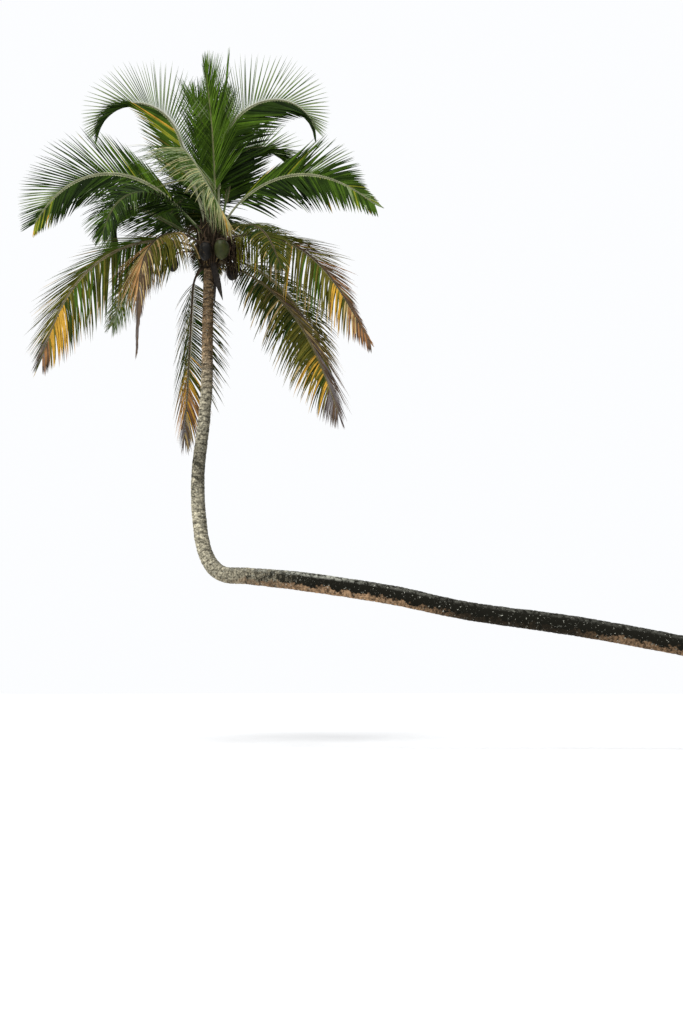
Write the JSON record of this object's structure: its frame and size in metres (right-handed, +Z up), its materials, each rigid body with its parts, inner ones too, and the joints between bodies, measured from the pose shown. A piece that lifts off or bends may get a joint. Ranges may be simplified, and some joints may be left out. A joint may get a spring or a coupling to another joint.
{
  "type": "coconut palm tree",
  "caption": "Coconut palm with a long leaning trunk that turns upright at an elbow and carries a full crown of feather fronds.",
  "frame": {"origin": "middle of the flat cut under the trunk, at ground level", "axes": "+Z up, the trunk leans away along -X, +Y to the far side of the tree as the picture sees it"},
  "size_m": [15.1198, 5.9887, 12.3402],
  "materials": {
    "bark": "rough grey brown bark with ring scars, moss and lichen",
    "heart_fibre": "matted dark fibre sheath",
    "green_frond": "green leaflets with a waxy sheen",
    "old_frond": "ageing leaflets, olive with golden and brown streaks",
    "dry_frond": "dry tan leaflets",
    "nut_husk": "smooth green husk",
    "old_sheath": "dry blackened flower sheath"
  },
  "bodies": {
    "root": {"trunk_leaning": "bark", "trunk_elbow": "bark", "trunk_upright": "bark", "crown_heart": "heart_fibre", "spear_leaf": "green_frond", "nut_front_right": "nut_husk", "nut_front": "nut_husk", "nut_right": "nut_husk", "nut_back": "nut_husk", "nut_left": "nut_husk", "old_sheath": "old_sheath", "old_sheath_thin": "old_sheath", "frond_top_left_inner": "green_frond", "frond_top_left_outer": "green_frond", "frond_top_right_inner": "green_frond", "frond_top_right_outer": "green_frond", "frond_right_inner": "green_frond", "frond_right_outer": "green_frond", "frond_left_inner": "green_frond", "frond_left_outer": "green_frond", "frond_low_left_inner": "old_frond", "frond_low_left_outer": "old_frond", "frond_low_right_inner": "old_frond", "frond_low_right_outer": "old_frond", "frond_hanging_right": "old_frond", "frond_front_inner": "old_frond", "frond_front_outer": "old_frond", "frond_dry_front_left": "dry_frond", "frond_hanging_back_left": "old_frond", "frond_top_back_left": "green_frond", "frond_top_back_right": "green_frond", "frond_top_front": "green_frond", "frond_high_right_back_inner": "green_frond", "frond_high_right_back_outer": "green_frond", "frond_left_back": "green_frond", "frond_upper_back_left": "green_frond", "frond_low_back_left": "old_frond", "frond_low_back_right": "old_frond", "frond_high_back_inner": "green_frond", "frond_high_back_outer": "green_frond", "frond_back_inner": "old_frond", "frond_back_outer": "old_frond", "frond_low_back": "old_frond", "frond_front_right": "green_frond", "frond_front_left": "green_frond"}
  },
  "joints": []
}
